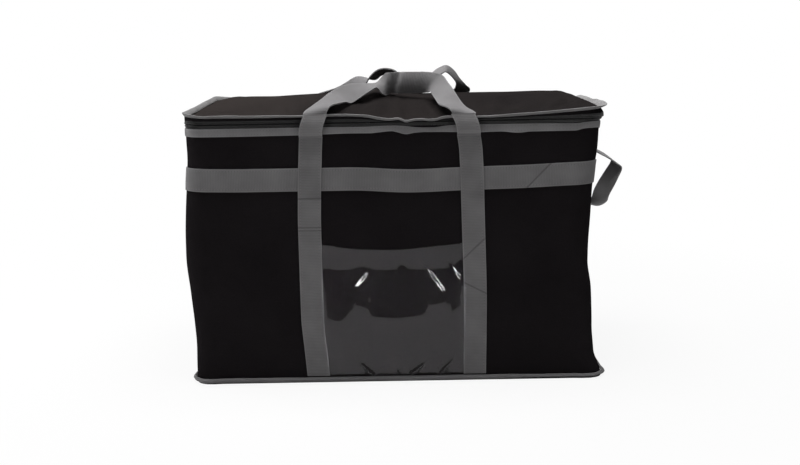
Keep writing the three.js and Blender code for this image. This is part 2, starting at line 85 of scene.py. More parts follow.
# %% A socket that can be added and multiplied
class Sock:
    """One output in a material, with the signs that turn into Math nodes."""

    def __init__(self, tree, out=None):
        self.tree = tree
        self.out = out

    def node(self, kind, sockets=(), settings=(), out=0):
        made = self.tree.nodes.new("ShaderNode" + kind)
        for key, value in dict(settings).items():
            if key == "stops":
                ramp = made.color_ramp.elements
                while len(ramp) < len(value):
                    ramp.new(1)
                for stop, (place, colour) in zip(ramp, value):
                    stop.position = place
                    stop.color = (*colour, 1)
            else:
                setattr(made, key, value)
        for key, value in dict(sockets).items():
            if isinstance(value, Sock):
                self.tree.links.new(value.out, made.inputs[key])
            else:
                made.inputs[key].default_value = value
        return Sock(self.tree, made.outputs[out] if made.outputs else None)

    def beside(self, name):
        return Sock(self.tree, self.out.node.outputs[name])

    def maths(self, operation, *values):
        return self.node("Math", enumerate(values), {"operation": operation})

    def __add__(self, other):
        return self.maths("ADD", self, other)

    def __sub__(self, other):
        return self.maths("SUBTRACT", self, other)

    def __rsub__(self, other):
        return self.maths("SUBTRACT", other, self)

    def __mul__(self, other):
        return self.maths("MULTIPLY", self, other)

    def __truediv__(self, other):
        return self.maths("DIVIDE", self, other)

    __radd__ = __add__


def new_finish(name):
    """A new material with an empty tree to write sums in."""
    finish = bpy.data.materials.new(name)
    finish.use_nodes = True
    finish.node_tree.nodes.clear()
    return finish, Sock(finish.node_tree)


def close_finish(start, **sockets):
    """One Principled surface with these sockets, written with _ for a space."""
    named = {key.replace("_", " "): value for key, value in sockets.items()}
    shader = start.node("BsdfPrincipled", named)
    start.node("OutputMaterial", {"Surface": shader})


def texture_space(start, coordinate="Object"):
    """Where a pattern is laid: in a piece's own metres, or in its UV map."""
    return start.node("TexCoord", out=coordinate)


def slope(value, low, high, first, last):
    """A smooth step of a value from first at low to last at high."""
    return value.node(
        "MapRange",
        {"Value": value, "From Min": low, "From Max": high, "To Min": first, "To Max": last},
        {"interpolation_type": "SMOOTHSTEP"},
    )


print("shader sums ready")

# %% [markdown]
# ## Stage
# The bag stands on a white floor under one large soft light, with weaker ones in front and at the
# left. Dark cards and two small lamps are there for mirrored rays alone: the cards are the dark
# room that the film shows, and the lamps are its glints. Light Path tells the rays apart, so the
# background is white while the light on the bag stays plain and the floor keeps its shadow.

# %% Floor, world and lamps
def seen_directly(start):
    """1 for rays that show the background: straight, mirrored or through film."""
    path = start.node("LightPath", out="Is Camera Ray")
    seen = path.maths("MAXIMUM", path, path.beside("Is Glossy Ray"))
    return path.maths("MAXIMUM", seen, path.beside("Is Transmission Ray"))


deselect()
bpy.ops.mesh.primitive_plane_add(size=9)
floor = bpy.context.object
floor.name = "studio_floor"
floor_finish, start = new_finish("white_floor")
paper = start.node("BsdfDiffuse", {"Color": (0.55, 0.55, 0.55, 1)})
glow = start.node("Emission")
where = texture_space(start)
away = start.node("VectorMath", {0: where}, {"operation": "LENGTH"}, "Value")
white = slope(away, 0.35, 1.1, 0.9, 1)
lit = start.node("MixShader", {0: seen_directly(start) * white, 1: paper, 2: glow})
start.node("OutputMaterial", {"Surface": lit})
floor.data.materials.append(floor_finish)

world = bpy.data.worlds.new("studio_world")
bpy.context.scene.world = world
world.use_nodes = True
world.node_tree.nodes.clear()
start = Sock(world.node_tree)
level = seen_directly(start) * 0.85 + 0.15
sky = start.node("Background", {"Color": (1, 1, 1, 1), "Strength": level})
start.node("OutputWorld", {"Surface": sky})


def soft_lamp(name, place, aim, size, power):
    """An area lamp that looks at a point."""
    bpy.ops.object.light_add(type="AREA", location=place)
    lamp = bpy.context.object
    lamp.name = name
    lamp.data.shape = "RECTANGLE"
    lamp.data.size, lamp.data.size_y = size
    lamp.data.energy = power
    lamp.rotation_euler = (Vector(aim) - Vector(place)).to_track_quat("-Z", "Y").to_euler()
    return lamp


soft_lamp("overhead_light", (0, -0.1, 2.2), (0, 0, 0.3), (1.6, 1.2), 68)
soft_lamp("near_light", (-0.5, -1.5, 1.9), (0, -0.1, 0.2), (0.4, 0.4), 2)
soft_lamp("left_light", (-1.5, 0.35, 0.9), (-0.2, 0, 0.38), (1.0, 1.0), 20)
for hand in (-1, 1):
    glint = soft_lamp("glint_light", (hand * 0.89, -1.34, 0.9), (0, -0.16, 0.16), (0.3, 0.5), 34)
    glint.visible_diffuse = False

card_finish, start = new_finish("dark_card")
black = start.node("BsdfDiffuse", {"Color": (0.01, 0.01, 0.01, 1)})
start.node("OutputMaterial", {"Surface": black})
UPRIGHT = pi / 2
CARD_HIGH = 4
CARDS = (0, -1.05, 0, 1.1), (0, -1.5, 0, 2.8), (-1.4, -0.6, 90, 1.8), (1.4, -0.6, 90, 1.8)
for x, y, turn, wide in CARDS:
    deselect()
    bpy.ops.mesh.primitive_plane_add(
        size=1, location=(x, y, CARD_HIGH / 2), rotation=(UPRIGHT, 0, radians(turn))
    )
    card = bpy.context.object
    card.name = "dark_card"
    card.scale = (wide, CARD_HIGH, 1)
    card.visible_camera = card.visible_diffuse = card.visible_shadow = False
    card.data.materials.append(card_finish)
print("stage ready")

# %% [markdown]
# ## How the bag has settled
# A cloth bag never stands as five flat plates. The left end bellies out, the right end sinks in,
# the front swells and the band dips a little in the middle. One field moves every layer of the
# wall by the same amount, so cloth, foam, webbing and pocket stay on each other.

# %% The settled field
HALF_X, HALF_Y, CORNER = 0.286, 0.159, 0.034
FLAT_X, FLAT_Y = HALF_X - CORNER, HALF_Y - CORNER
ARC = CORNER * pi / 2
# Straight stretches and corners by turns, from the back's middle
RUN = FLAT_X, ARC, 2 * FLAT_Y, ARC, 2 * FLAT_X, ARC, 2 * FLAT_Y, ARC, FLAT_X
AROUND = sum(RUN)
LEFT_END = FLAT_X + ARC
FRONT_LEFT = LEFT_END + 2 * FLAT_Y
FRONT = FRONT_LEFT + ARC
FRONT_RIGHT = FRONT + 2 * FLAT_X
RIGHT_END = FRONT_RIGHT + ARC
BACK_RIGHT = RIGHT_END + 2 * FLAT_Y
RIM = 0.366


def ease(low, high, at):
    """0 before low, 1 after high, smooth between."""
    t = min(max((at - low) / (high - low), 0), 1)
    return t * t * (3 - 2 * t)


def between(knots, at):
    """A smooth line through knots of (place, amount) that never overshoots them."""
    if at <= knots[0][0]:
        return knots[0][1]
    if at >= knots[-1][0]:
        return knots[-1][1]
    rises = [(b[1] - a[1]) / (b[0] - a[0]) for a, b in zip(knots, knots[1:])]
    k = max(i for i, knot in enumerate(knots[:-1]) if knot[0] <= at)

    def lean(i):
        if i in (0, len(knots) - 1):
            return rises[min(i, len(rises) - 1)]
        before, after = rises[i - 1], rises[i]
        return 2 * before * after / (before + after) if before * after > 0 else 0

    (low, first), (high, second) = knots[k], knots[k + 1]
    span = high - low
    t = (at - low) / span
    start_share, end_share = (1 + 2 * t) * (1 - t) ** 2, t * t * (3 - 2 * t)
    bend = t * (1 - t) ** 2 * lean(k) - t * t * (1 - t) * lean(k + 1)
    return first * start_share + second * end_share + bend * span


def in_mm(*knots):
    """Knots written in millimetres, turned into metres."""
    return [[number * 0.001 for number in knot] for knot in knots]


def run_at(s):
    """The wall in plan, s metres anticlockwise from the back's middle: point and way out."""
    s %= AROUND
    spot, ahead = Vector((0, HALF_Y)), Vector((-1, 0))
    for stretch, length in enumerate(RUN):
        step = min(s, length)
        if stretch % 2:
            inwards = Vector((-ahead.y, ahead.x))
            turn = step / CORNER
            spot = spot + (ahead * sin(turn) + inwards * (1 - cos(turn))) * CORNER
            ahead = ahead * cos(turn) + inwards * sin(turn)
        else:
            spot = spot + ahead * step
        s -= step
        if s <= 0:
            break
    return spot, Vector((ahead.y, -ahead.x))


LEFT_LEAN = in_mm(
    (0, 0), (30, -1), (90, -3.5), (140, -6.5), (180, -9.3), (210, -8.5), (260, -5), (330, -0.5),
    (366, 0),
)
RIGHT_LEAN = in_mm(
    (0, 13.5), (10, 10.8), (20, 7.2), (33, 3.7), (48, 3.2), (80, 1.8), (100, 0.8), (130, -0.8),
    (168, -6), (220, -4), (300, 1), (323, 4), (342, 5.6), (355, 6.2), (366, 7.2),
)
SWELL = in_mm((0, 0), (50, 1.5), (150, 4), (250, 3), (330, 1), (366, 0))
BAND_DIP = in_mm(
    (-286, 2), (-200, 0.5), (-60, 0.5), (30, -3.8), (100, -2), (180, -0.5), (250, 2.2),
    (286, 2.7),
)
DIP_HEIGHT = ((0, 0), (0.2, 0.5), (0.3, 1), (0.34, 0.6), (RIM, 0))


def ripple(p, pitch, amount):
    """Soft dents in the cloth, the same on every run."""
    return noise.noise(Vector(p) / pitch) * amount


def settle(x, y, z, dented=1.0):
    """Where a point of the standing wall ends up."""
    end = copysign(ease(0.2, 0.28, abs(x)), x)
    face = copysign(ease(0.1, 0.15, abs(y)), y)
    lean = between(LEFT_LEAN if x < 0 else RIGHT_LEAN, z)
    swell = between(SWELL, z) * (1 - (x / HALF_X) ** 2)
    dents = ripple((x, y, z * 0.7), 0.09, 0.0016) + ripple((x, y, z), 0.035, 0.0005)
    dents *= dented * ease(0.012, 0.07, z) * ease(0.352, 0.31, z)
    dip = between(BAND_DIP, x) * between(DIP_HEIGHT, z) * abs(face)
    corner = max(abs(x) - FLAT_X, 0) * max(abs(y) - FLAT_Y, 0) * 2 / CORNER ** 2
    square = 0.0045 * min(corner, 1) * ease(0.07, 0.0, z)
    return Vector((
        x + abs(end) * lean + end * dents + copysign(square, x),
        y + face * (swell + dents) + copysign(square, y),
        z + dip,
    ))


def on_wall(s, z, out):
    """A settled point, out metres off the wall, at run s and height z."""
    spot, way = run_at(s)
    return settle(spot.x + way.x * out, spot.y + way.y * out, z)


print("outline", round(AROUND, 3), "m round")

# %% [markdown]
# ## Laying cloth
# Every soft piece starts as a flat grid, as cloth does on the table. Each corner of the grid is
# carried to its place, the UV map is scaled to metres so that a weave keeps its true size, and
# Solidify gives the cloth its thickness.

# %% The grid that becomes cloth
def use_modifier(piece, kind, **settings):
    """Add one modifier, set it and apply it."""
    bpy.context.view_layer.objects.active = piece
    modifier = piece.modifiers.new(kind.lower(), kind)
    for key, value in settings.items():
        setattr(modifier, key, value)
    bpy.ops.object.modifier_apply(modifier=modifier.name)


def lay_cloth(name, cells, size, place, thickness=0.0, closed=False, side=-1):
    """A grid of cells, size metres long and wide, each corner carried to place(u, v)."""
    deselect()
    bpy.ops.mesh.primitive_grid_add(x_subdivisions=cells[0], y_subdivisions=cells[1], size=1)
    piece = bpy.context.object
    piece.name = piece.data.name = name
    for corner in piece.data.vertices:
        corner.co = place(corner.co.x + 0.5, corner.co.y + 0.5)
    for loop in piece.data.uv_layers.active.data:
        loop.uv = (loop.uv.x * size[0], loop.uv.y * size[1])
    if closed:
        bpy.ops.object.mode_set(mode="EDIT")
        bpy.ops.mesh.select_all(action="SELECT")
        bpy.ops.mesh.remove_doubles(threshold=0.00001)
        bpy.ops.object.mode_set(mode="OBJECT")
    if thickness:
        use_modifier(piece, "SOLIDIFY", thickness=thickness, offset=side)
    bpy.ops.object.shade_smooth_by_angle(angle=radians(40))
    return piece


def dress(piece, finish, slot, body, *nodes):
    """Give a piece its finish, let it ride on a body and stand for CAD nodes; slot is not used."""
    piece.data.materials.clear()
    piece.data.materials.append(finish)
    if body:
        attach(piece, body)
    if nodes:
        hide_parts(*nodes)
    print(piece.name, len(piece.data.polygons), "faces")
    return piece


# %% [markdown]
# ## Finishes
# The black cloth is a plain weave, dull and slightly uneven in colour. The webbing is ribbed
# across its length, with smoother, paler selvedges and a row of stitches near each edge.
# Patterns are laid in metres, in the UV map or, for the lid, in the piece's own coordinates.

# %% Cloth and webbing finishes
FULL_TURN = 2 * pi


def read_plan(start, coordinate):
    """The two pattern directions of a piece: its UV in metres, or its own x and y."""
    where = texture_space(start, coordinate)
    along = start.node("SeparateXYZ", {"Vector": where}, out="X")
    return where, along, along.beside("Y")


def speckle(where, scale, detail=3):
    return where.node("TexNoise", {"Vector": where, "Scale": scale, "Detail": detail}, out="Fac")


def wave(value, pitch):
    return value.maths("SINE", value * (FULL_TURN / pitch))


def ramp(value, *stops):
    return value.node("ValToRGB", {"Fac": value}, {"stops": stops})


def bump(height, distance, strength):
    return height.node("Bump", {"Height": height, "Distance": distance, "Strength": strength})


def woven_cloth(name, coordinate, dark, light, pitch, painted_sheen=0.0):
    """Plain weave, uneven in colour and faintly creased, lightened towards the left by a painted
    sheen.
    """
    finish, start = new_finish(name)
    where, along, up = read_plan(start, coordinate)
    weave = wave(along, pitch) * wave(up, pitch)
    cloudy = speckle(where, 9)
    fuzz = speckle(where, 420, 2)
    creases = speckle(where, 26, 4)
    # The last term is painted sheen: the colour grows lighter towards the left.
    tone = cloudy * 0.55 + fuzz * 0.3 + weave * 0.12 + slope(along, -0.26, -0.02, painted_sheen, 0)
    height = weave * 0.25 + fuzz * 0.5 + creases * 3.0
    close_finish(
        start,
        Base_Color=ramp(tone, (0.25, dark), (0.75, light)),
        Roughness=0.52 + fuzz * 0.25,
        Normal=bump(height, 0.0006, 0.7),
        Specular_IOR_Level=0.0,
    )
    return finish


THREAD = 0.0013
STITCH_INSET, STITCH_PITCH, STITCH_SHARE = 0.0034, 0.0042, 0.72


def ribbed_webbing(name, width, dark, light, stitches=True, pitch=0.0022, seam_and_shade_lines=()):
    """Ribs across the length, pale selvedges, stitches near each edge, and dark sewn lines; on the
    legs and the base tape they are drawn darker as painted shade.
    """
    finish, start = new_finish(name)
    where, along, over = read_plan(start, "UV")
    wobble = speckle(where, 160, 2)
    rib = wave(along + wobble * 0.0006, pitch) * 0.5 + 0.5
    thread = wave(over, THREAD) * 0.5 + 0.5
    edge = start.maths("MINIMUM", over, width - over)
    selvedge = slope(edge, 0.0008, 0.0020, 1, 0)
    cloudy = speckle(where, 22)
    tone = rib * 0.12 + thread * 0.1 + cloudy * 0.55 + selvedge * 0.2
    height = rib * (1 - selvedge) * 0.5 + thread * 0.35
    if stitches:
        off_line = start.maths("ABSOLUTE", edge - STITCH_INSET)
        line = slope(off_line, 0.0003, 0.0007, 1, 0)
        repeat = start.maths("FRACT", along / STITCH_PITCH)
        dash = start.maths("LESS_THAN", repeat, STITCH_SHARE)
        tone = tone - line * 0.18 + line * dash * 0.3
        height = height - line * 1.2 + line * dash * 1.6
    for a0, b0, a1, b1 in seam_and_shade_lines:
        long = hypot(a1 - a0, b1 - b0)
        far = (along - a0) * ((b1 - b0) / long) - (over - b0) * ((a1 - a0) / long)
        drawn_line = slope(start.maths("ABSOLUTE", far), 0.0005, 0.0015, 1, 0)
        # Each drawn line darkens the colour; on the legs and the base tape this is painted shade.
        tone = tone - drawn_line * 0.32
        height = height - drawn_line * 2.0
    close_finish(
        start,
        Base_Color=ramp(tone, (0.15, dark), (0.9, light)),
        Roughness=0.62 + wobble * 0.2,
        Normal=bump(height, 0.00035, 0.8),
        Specular_IOR_Level=0.1,
    )
    return finish


CLOTH_PITCH, TAPE_PITCH = 0.0011, 0.0014
WEB_WIDE, LOOP_WIDE, RIM_TAPE_WIDE, FOLD_TAPE_WIDE = 0.032, 0.025, 0.014, 0.020
GREY = (0.105, 0.102, 0.104), (0.235, 0.23, 0.234)
black_cloth = woven_cloth(
    "black_cloth", "UV", (0.0105, 0.0091, 0.01), (0.0185, 0.0163, 0.0176), CLOTH_PITCH
)
# The lid's cloth carries a painted sheen that lightens it towards the left.
lid_cloth = woven_cloth(
    "lid_cloth", "Object", (0.0105, 0.0095, 0.0098), (0.024, 0.0205, 0.0195), CLOTH_PITCH, 0.35
)
webbing = ribbed_webbing("grey_webbing", WEB_WIDE, *GREY)
left_strap_webbing = ribbed_webbing(
    "left_strap_webbing", WEB_WIDE, *GREY,
    seam_and_shade_lines=[(at, 0, at, WEB_WIDE) for at in (0.2573, 0.2165, 0.2123)],
)
right_strap_webbing = ribbed_webbing(
    "right_strap_webbing", WEB_WIDE, *GREY,
    seam_and_shade_lines=((0.1714, 0.0024, 0.1979, 0.0318), (0.1354, 0.0006, 0.1189, 0.0316)),
)
band_webbing = ribbed_webbing(
    "band_webbing", WEB_WIDE, *GREY, seam_and_shade_lines=((1.5658, 0, 1.5978, WEB_WIDE),)
)
# Its dark line just above the strap's top is a seam drawn dark as the painted shadow of the step
# there.
# The legs' webbing is a lighter copy of the grey webbing: painted light for legs leaning back to
# the lamps.
leg_webbing_painted_light = ribbed_webbing(
    "leg_webbing_painted_light", WEB_WIDE, (0.14, 0.136, 0.138), (0.31, 0.304, 0.308),
    seam_and_shade_lines=((0.0018, 0, 0.0018, WEB_WIDE),),
)
loop_webbing = ribbed_webbing(
    "grey_loop_webbing", LOOP_WIDE, (0.16, 0.156, 0.158), (0.35, 0.344, 0.348)
)
rim_tape = ribbed_webbing(
    "rim_tape", RIM_TAPE_WIDE, (0.14, 0.137, 0.14), (0.31, 0.305, 0.31), True, TAPE_PITCH
)
edge_tape = ribbed_webbing(
    "edge_tape", FOLD_TAPE_WIDE, (0.13, 0.127, 0.128), (0.3, 0.295, 0.295), False, TAPE_PITCH
)
# The base tape's line along its length is a sewn groove, drawn dark as painted shade.
base_tape = ribbed_webbing(
    "base_tape", FOLD_TAPE_WIDE, (0.1, 0.098, 0.1), (0.235, 0.23, 0.235), False, TAPE_PITCH,
    seam_and_shade_lines=((0, 0.0062, 1.7, 0.0062),),
)
print("cloth and webbing finishes ready")

# %% [markdown]
# ## Finishes of the other pieces
# The film is clear vinyl with faint scuffs and waves. Voronoi cells crease the foil and make the
# foam's pores. The zip has fine ridges for its coil, and its black metal is worn in spots.

# %% Film, foil, foam, board, zip and metal finishes
def cell_pattern(where, scale):
    return where.node("TexVoronoi", {"Vector": where, "Scale": scale}, out="Distance")


COIL_PITCH = 0.0016
clear_film, start = new_finish("clear_film")
where = texture_space(start)
scuffs = speckle(where, 40, 4)
waves = speckle(where, 22, 1)
close_finish(
    start,
    Base_Color=ramp(scuffs, (0.3, (0.93, 0.94, 0.95)), (0.7, (0.98, 0.98, 0.99))),
    Roughness=slope(scuffs, 0.5, 0.75, 0.02, 0.06),
    Normal=bump(waves, 0.0012, 0.5),
    Transmission_Weight=1.0,
    IOR=1.27,
)

silver_foil, start = new_finish("silver_foil")
where = texture_space(start)
facets = cell_pattern(where, 70)
fine = speckle(where, 130, 4)
close_finish(
    start,
    Base_Color=ramp(fine, (0.3, (0.44, 0.45, 0.46)), (0.7, (0.62, 0.63, 0.64))),
    Metallic=0.92,
    Roughness=0.22 + fine * 0.2,
    Normal=bump(facets * 0.6 + fine * 0.6, 0.0022, 0.8),
)

white_foam, start = new_finish("white_foam")
where = texture_space(start)
cells = cell_pattern(where, 420)
close_finish(
    start,
    Base_Color=ramp(cells, (0.1, (0.62, 0.62, 0.60)), (0.7, (0.8, 0.8, 0.79))),
    Roughness=0.75 + cells * 0.2,
    Normal=bump(cells, 0.0006, 0.6),
)

black_board, start = new_finish("black_board")
where = texture_space(start)
grain = speckle(where, 240)
close_finish(
    start,
    Base_Color=ramp(grain, (0.3, (0.014, 0.014, 0.015)), (0.7, (0.026, 0.026, 0.027))),
    Roughness=0.45 + grain * 0.25,
    Normal=bump(grain, 0.0002, 0.5),
)

zip_tape, start = new_finish("zip_tape")
where, along, _ = read_plan(start, "UV")
coil = wave(along, COIL_PITCH) * 0.5 + 0.5
lint = speckle(where, 300, 2)
tone = coil * 0.5 + lint * 0.5
close_finish(
    start,
    Base_Color=ramp(tone, (0.2, (0.0035, 0.0035, 0.0037)), (0.8, (0.008, 0.0077, 0.008))),
    Roughness=0.4 + lint * 0.3,
    Normal=bump(coil + lint * 0.4, 0.0005, 0.8),
    Specular_IOR_Level=0.15,
)

black_metal, start = new_finish("black_metal")
where = texture_space(start)
wear = speckle(where, 180, 4)
close_finish(
    start,
    Base_Color=ramp(wear, (0.45, (0.02, 0.02, 0.021)), (0.8, (0.075, 0.074, 0.073))),
    Metallic=slope(wear, 0.55, 0.75, 0.35, 0.9),
    Roughness=0.28 + wear * 0.25,
    Normal=bump(wear, 0.00008, 0.5),
)
print("other finishes ready")

# %% [markdown]
# ## Wall cloth
# The front and back panels each wrap two corners and meet the end panels just past them. Each is a
# sheet that follows the settled wall, sewn in at the base and at the rim.

# %% Four wall sheets and the base sheet
WALL_FOOT = 0.0012
FABRIC = 0.0012


def wall_sheet(name, first, last, cells):
    """One panel of wall cloth from run first to run last."""
    long, high = last - first, RIM - WALL_FOOT

    def place(u, v):
        return on_wall(first + u * long, WALL_FOOT + v * high, 0)

    sheet = lay_cloth(name + "_cloth", cells, (long, high), place, FABRIC)
    dress(sheet, black_cloth, "black_fabric", "shell", name)


wall_sheet("front_panel", FRONT_LEFT, RIGHT_END, (150, 90))
wall_sheet("right_end_panel", RIGHT_END, BACK_RIGHT, (60, 90))
wall_sheet("back_panel", BACK_RIGHT, AROUND + LEFT_END, (150, 90))
wall_sheet("left_end_panel", LEFT_END, FRONT_LEFT, (60, 90))


def in_plan(a, b, inset):
    """A point of a square, from -1 to 1, laid inside the rounded outline."""
    ring = max(abs(a), abs(b), 0.000001)
    x, y = a / ring * (HALF_X - inset), b / ring * (HALF_Y - inset)
    over_x, over_y = abs(x) - FLAT_X, abs(y) - FLAT_Y
    if over_x > 0 and over_y > 0:
        pull = (CORNER - inset) / hypot(over_x, over_y)
        x = copysign(FLAT_X + over_x * pull, x)
        y = copysign(FLAT_Y + over_y * pull, y)
    return x * ring, y * ring


def base_place(u, v):
    x, y = in_plan(2 * u - 1, 2 * v - 1, 0.0002)
    flat = settle(x, y, 0)
    return Vector((flat.x, flat.y, FABRIC))


base_cloth = lay_cloth("base_panel_cloth", (60, 34), (2 * HALF_X, 2 * HALF_Y), base_place, FABRIC)
dress(base_cloth, black_cloth, "black_fabric", "shell", "base_panel")

# %% [markdown]
# ## Foam and foil
# Inside the cloth are slabs of foam, then a silver liner that covers the floor and the walls and
# turns over the foam at the rim. They follow the settled wall too, or the cloth would cut them.

# %% Foam slabs and foil liner
FOAM_OUT, FOAM_IN = -0.0013, -0.0091
FOAM_FOOT, FOAM_HEAD = 0.0122, 0.365


def foam_slab(name, first, last, cells):
    """A wall's slab of foam, laid behind the cloth."""
    long, high = last - first, FOAM_HEAD - FOAM_FOOT

    def place(u, v):
        return on_wall(first + u * long, FOAM_FOOT + v * high, FOAM_OUT)

    slab = lay_cloth(name + "_slab", cells, (long, high), place, FOAM_OUT - FOAM_IN)
    dress(slab, white_foam, "white_foam", "shell", name)


foam_slab("front_foam", FRONT, FRONT_RIGHT, (90, 60))
foam_slab("right_end_foam", RIGHT_END, BACK_RIGHT, (45, 60))
foam_slab("back_foam", BACK_RIGHT + ARC, AROUND + FLAT_X, (90, 60))
foam_slab("left_end_foam", LEFT_END, FRONT_LEFT, (45, 60))

FOIL_OUT = -0.01
FLOOR_TOP, FOIL_TURN = 0.013, 0.3656
FLOOR_SHARE, WALL_SHARE, TURN_SHARE = 0.3, 0.65, 0.05


def liner_place(u, v):
    """The liner from the middle of its floor, out, up the wall and over the foam."""
    s = u * AROUND
    if v < FLOOR_SHARE:
        spot, way = run_at(s)
        outwards = v / FLOOR_SHARE
        spot = (spot + way * FOIL_OUT) * outwards
        lump = ripple((spot.x, spot.y, 0), 0.02, 0.0008) * ease(1, 0.6, outwards)
        return Vector((spot.x, spot.y, FLOOR_TOP + max(lump, 0)))
    upwards = (v - FLOOR_SHARE) / WALL_SHARE
    if upwards < 1:
        return on_wall(s, FLOOR_TOP + upwards * (FOIL_TURN - FLOOR_TOP), FOIL_OUT)
    over = (v - FLOOR_SHARE - WALL_SHARE) / TURN_SHARE
    return on_wall(s, FOIL_TURN + 0.0003 * over, FOIL_OUT + 0.0083 * over)


liner = lay_cloth("foil_liner_sheet", (260, 80), (AROUND, 0.52), liner_place, 0.0006, True, 1)
dress(liner, silver_foil, "silver_foil", "shell", "foil_liner")
liner_area = 4 * (HALF_X - 0.01) * (HALF_Y - 0.01) + AROUND * 0.36
liner_area / AROUND

# %% [markdown]
# ## Lid shape
# The lid is a crowned pad. Its front edge dips right of the middle, its right end has lifted, and
# the zip below stretches to follow. One field carries every lid piece, from nothing at the zip's
# coil to the full amount at the binding.

# %% The lid's field
LID_RIM = 0.3821
CROWN, CROWN_FORWARD = 0.027, 0.02
FRONT_EDGE = in_mm(
    (-300, 1), (-200, -0.5), (-60, 0), (-42, -1), (-27, -3), (-15.5, -5.7), (0, -7.5),
    (11.3, -6.2), (22.7, -10), (32.3, -8.1), (43.7, -7.7), (53.2, -9), (60.9, -9), (74.3, -6),
    (87.6, -5.1), (150, -5), (191, -3), (232, -0.5), (270, 2.2), (300, 3.5),
)
LEFT_EDGE = in_mm((-159, 0), (-60, 0), (10, 3), (75, 5.5), (120, 7.5), (159, 6))
CREST = in_mm(
    (-300, 3), (-224, 2.8), (-168, -2.6), (-92, -4.4), (-55, -1.8), (-20, 0.8), (20, -5),
    (50, -8.8), (101, -8.8), (167, -8.4), (244, -1.2), (268, 4.4), (300, 6.6),
)


def crown(x, y):
    """How far the lid's top rises over its rim: fullest a little before its middle."""
    rise_x = 1 - min(abs(x) / HALF_X, 1) ** (2.5 if x < 0 else 7)
    back = y + CROWN_FORWARD
    reach = HALF_Y + copysign(CROWN_FORWARD, back)
    return CROWN * rise_x * (1 - min(abs(back) / reach, 1) ** 2)


def lid_lift(x, y):
    """How far the soft lid has risen or dipped here."""
    edge = between(FRONT_EDGE, x)
    top = between(CREST, x) * ease(0.155, 0.09 - 0.05 * ease(0.2, 0.28, x), y)
    left = between(LEFT_EDGE, y) * ease(-0.2, -0.27, x)
    return top + left + (edge - top) * ease(-0.03 - 0.07 * ease(0.2, 0.28, x), -0.15, y)


def lid_form(p):
    """A lid point carried with the soft lid; its ends are pushed aside too."""
    share = ease(0.3735, 0.38, p.z)
    right, left = ease(0.2, 0.28, p.x), ease(-0.2, -0.28, p.x)
    aside = 0.0055 * right * ease(0.3662, 0.3745, p.z) * ease(0.3815, 0.3755, p.z)
    aside -= 0.0018 * left * ease(-0.115, -0.15, p.y) * ease(0.3664, 0.3715, p.z)
    aside += 0.007 * left * ease(0.09, 0.15, p.y) * ease(0.37, 0.38, p.z)
    return Vector((p.x + aside, p.y, p.z + share * lid_lift(p.x, p.y)))


print("lid lift at the right front", round(lid_lift(0.28, -0.15) * 1000, 1), "mm")

# %% [markdown]
# ## Lid pad
# Cloth over foam bulges between its seams. A thin crowned slab is remeshed, and Blender's Cloth
# blows it up a little with pressure, held at the seam and underneath. The movement is capped and
# the result is applied, so that only a mesh is left. Last, the underside is lifted clear of the
# rim and of the sliders, which pass below it at the left.

# %% Blow up the lid pad
PAD, PAD_SEAM, PAD_FILL = 0.009, LID_RIM - 0.001, 0.97
PAD_LOWEST, SLIDER_ROOM = 0.3682, 0.0083
SEAM_WIDE, LARGEST_MOVE, CLOTH_FRAMES = 0.012, 0.004, 20


def pad_top(x, y):
    """A point of the pad's upper face before it is blown up."""
    return lid_form(Vector((settle(x, y, RIM).x, y, PAD_SEAM + PAD_FILL * crown(x, y))))


def pad_place(u, v):
    return pad_top(*in_plan(2 * u - 1, 2 * v - 1, 0.0006))


def pad_low(x):
    """How low the pad's underside may hang."""
    return PAD_LOWEST + SLIDER_ROOM * ease(-0.268, -0.276, x)


lid_pad = lay_cloth("lid_pad", (120, 70), (2 * HALF_X, 2 * HALF_Y), pad_place, PAD)
use_modifier(lid_pad, "REMESH", mode="VOXEL", voxel_size=0.005)
held = lid_pad.vertex_groups.new(name="held")
before = [corner.co.copy() for corner in lid_pad.data.vertices]
for corner in lid_pad.data.vertices:
    x, y, _ = corner.co
    inside = abs(x) < HALF_X - SEAM_WIDE and abs(y) < HALF_Y - SEAM_WIDE
    if not (inside and corner.normal.z > 0.3):
        held.add([corner.index], 1.0, "REPLACE")
cloth = lid_pad.modifiers.new("cloth", "CLOTH").settings
cloth.use_pressure = True
cloth.uniform_pressure_force = 1
cloth.vertex_group_mass = "held"
cloth.shrink_min = -0.015
cloth.bending_stiffness = 0.6
cloth.effector_weights.gravity = 0
for moment in range(1, CLOTH_FRAMES + 1):
    bpy.context.scene.frame_set(moment)
bpy.context.view_layer.objects.active = lid_pad
bpy.ops.object.modifier_apply(modifier="cloth")
furthest = 0
for corner, home in zip(lid_pad.data.vertices, before):
    moved = corner.co - home
    furthest = max(furthest, moved.length)
    if moved.length > LARGEST_MOVE:
        corner.co = home + moved.normalized() * LARGEST_MOVE
print("pad moved up to", round(furthest * 1000, 1), "mm")
bpy.context.scene.frame_set(1)
use_modifier(lid_pad, "SUBSURF", levels=1, render_levels=1)
lid_pad.data.shade_smooth()
for corner in lid_pad.data.vertices:
    corner.co.z = max(corner.co.z, pad_low(corner.co.x))
dress(lid_pad, lid_cloth, "black_fabric", "lid", "lid_panel", "lid_foam")

# %% [markdown]
# ## Lid foil and lid band
# Foil lines the lid too. It is laid just under the pad and follows its dips, to stay clear of it.
# The band is a short strip of cloth between the lid's binding and the zip.

# %% Lid foil and lid band
FOIL_GAP = 0.0003


def lid_foil_place(u, v):
    x, y = in_plan(2 * u - 1, 2 * v - 1, 0.004)
    lump = ripple((x, y, 0), 0.02, 0.0006)
    sag = 0.0018 * ease(-0.06, -0.1, y)
    top = pad_top(x, y)
    under_pad = top.z - PAD - FOIL_GAP - sag + lump
    return Vector((top.x, top.y, max(under_pad, pad_low(x) - FOIL_GAP - sag / 3)))


